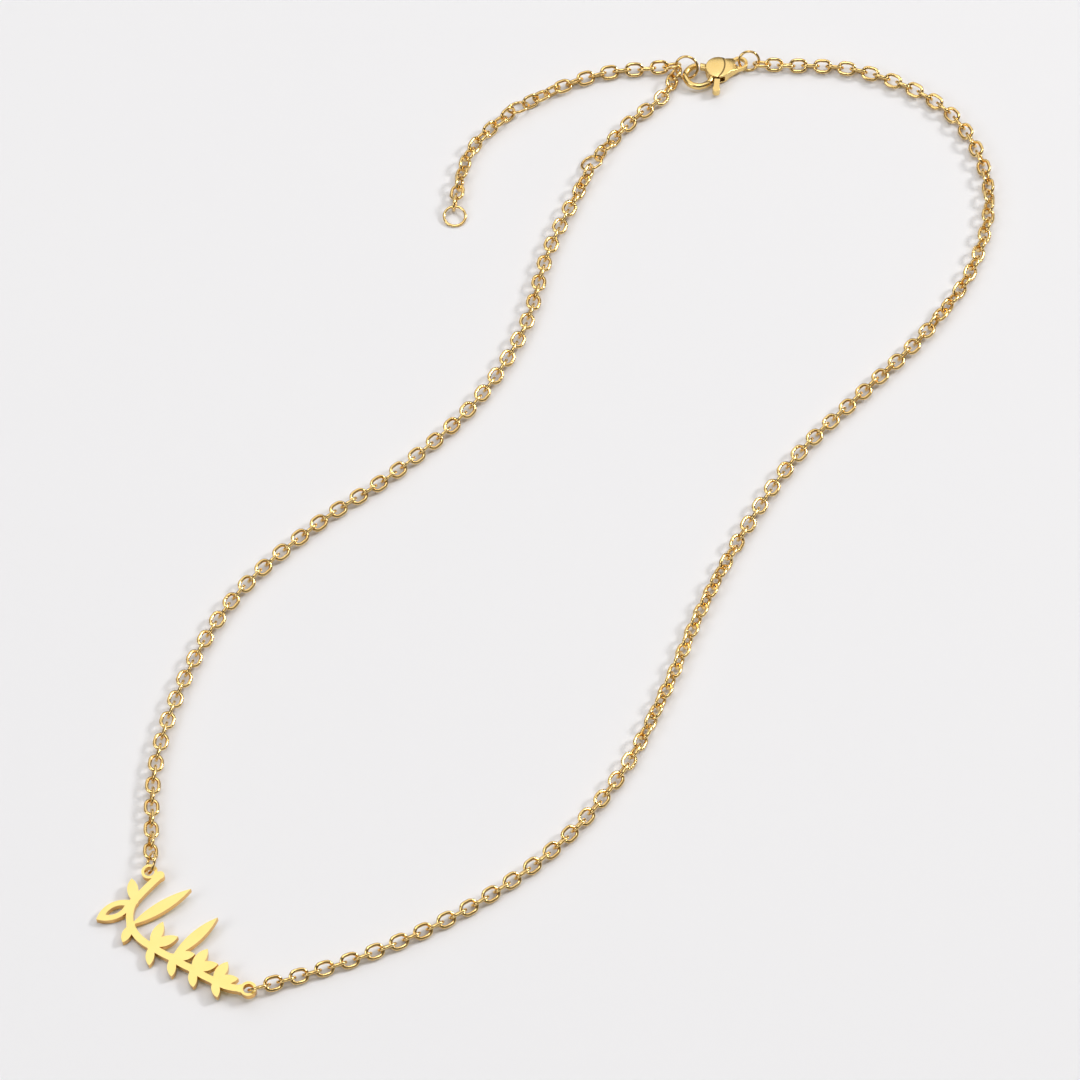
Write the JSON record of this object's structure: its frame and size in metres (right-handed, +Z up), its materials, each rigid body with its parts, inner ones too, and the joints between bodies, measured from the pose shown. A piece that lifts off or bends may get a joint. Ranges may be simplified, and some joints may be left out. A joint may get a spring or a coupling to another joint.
{
  "type": "nameplate necklace",
  "caption": "Fine cable chain necklace with a small pierced ornamental nameplate, an extender chain and a lobster clasp, closed and lying flat.",
  "frame": {"origin": "on the surface that the necklace lies on, under the middle of its bounding box", "axes": "+Z up, away from that surface; +Y away from the viewer, from the nameplate towards the clasp; +X to the viewer's right"},
  "size_m": [0.132, 0.1696, 0.0033],
  "materials": {
    "gold": "polished"
  },
  "bodies": {
    "necklace": {"nameplate": "gold", "left_plate_ring": "gold", "right_plate_ring": "gold", "left_chain": "gold", "right_chain": "gold", "joint_ring": "gold", "extender_chain_1": "gold", "extender_chain_2": "gold", "extender_chain_3": "gold", "hooked_ring": "gold", "extender_ring": "gold", "end_ring": "gold", "clasp_ring": "gold", "clasp_body": "gold"},
    "lever": {"clasp_lever": "gold"}
  },
  "joints": [
    {"name": "clasp_lever_hinge", "type": "hinge", "parent": "necklace", "child": "lever", "pos_m": [0.02416, 0.08227, 0.0011], "axis": [0, 0, 1], "range_deg": [0, 18], "stiffness_Nm_per_rad": 0.002}
  ]
}
